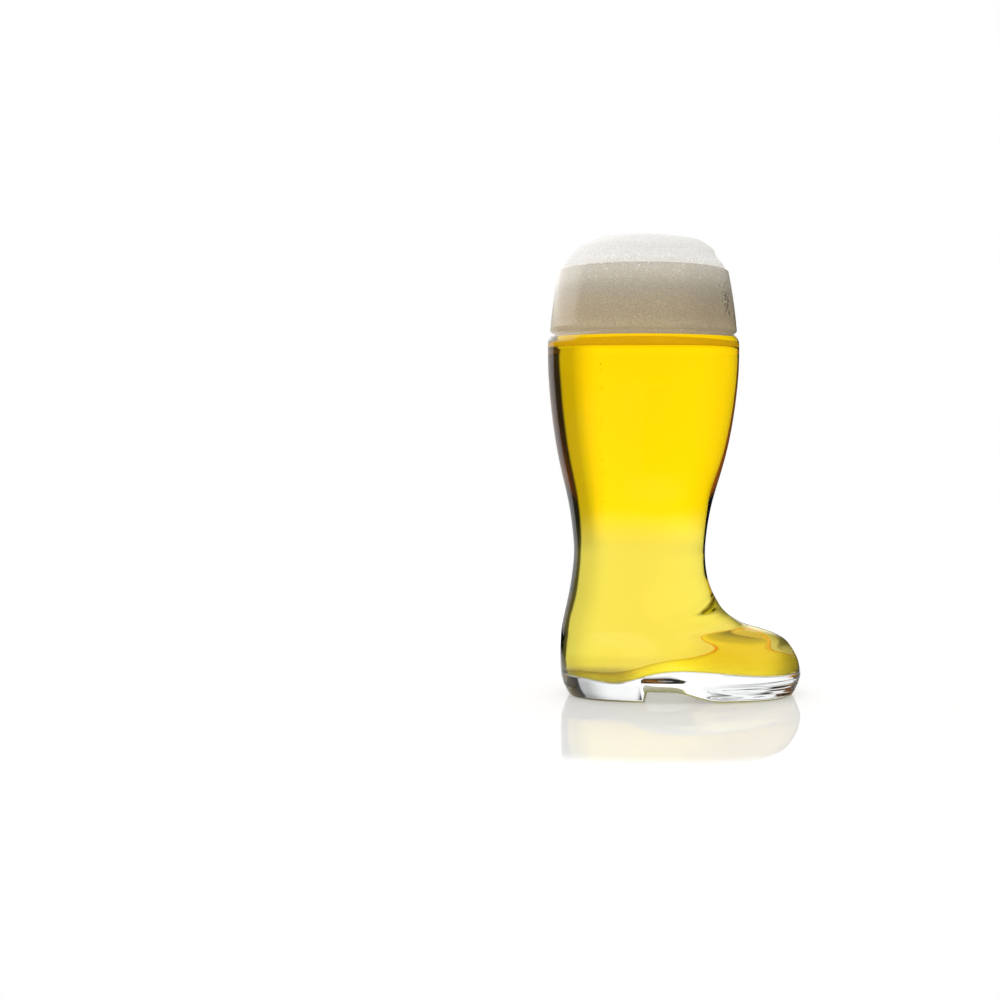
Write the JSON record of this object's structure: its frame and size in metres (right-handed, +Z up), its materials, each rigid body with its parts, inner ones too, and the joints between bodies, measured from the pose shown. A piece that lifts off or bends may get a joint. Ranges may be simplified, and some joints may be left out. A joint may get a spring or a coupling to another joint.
{
  "type": "beer boot glass",
  "caption": "Clear glass drinking boot with a round cuff, a groove at its fill line and a thick arched sole, full of pale beer under a dome of foam.",
  "frame": {"origin": "on the table, under the middle of the boot's length and on its plane of symmetry", "axes": "+Z up, along the leg; +X from the heel to the toe; +Y across the boot"},
  "size_m": [0.1386, 0.105, 0.2506],
  "materials": {
    "clear_glass": "clear, fire polished",
    "beer": "clear pale lager",
    "foam": "fine dense bubbles"
  },
  "bodies": {
    "root": {"glass_boot": "clear_glass", "beer": "beer", "foam_head": "foam"}
  },
  "joints": []
}
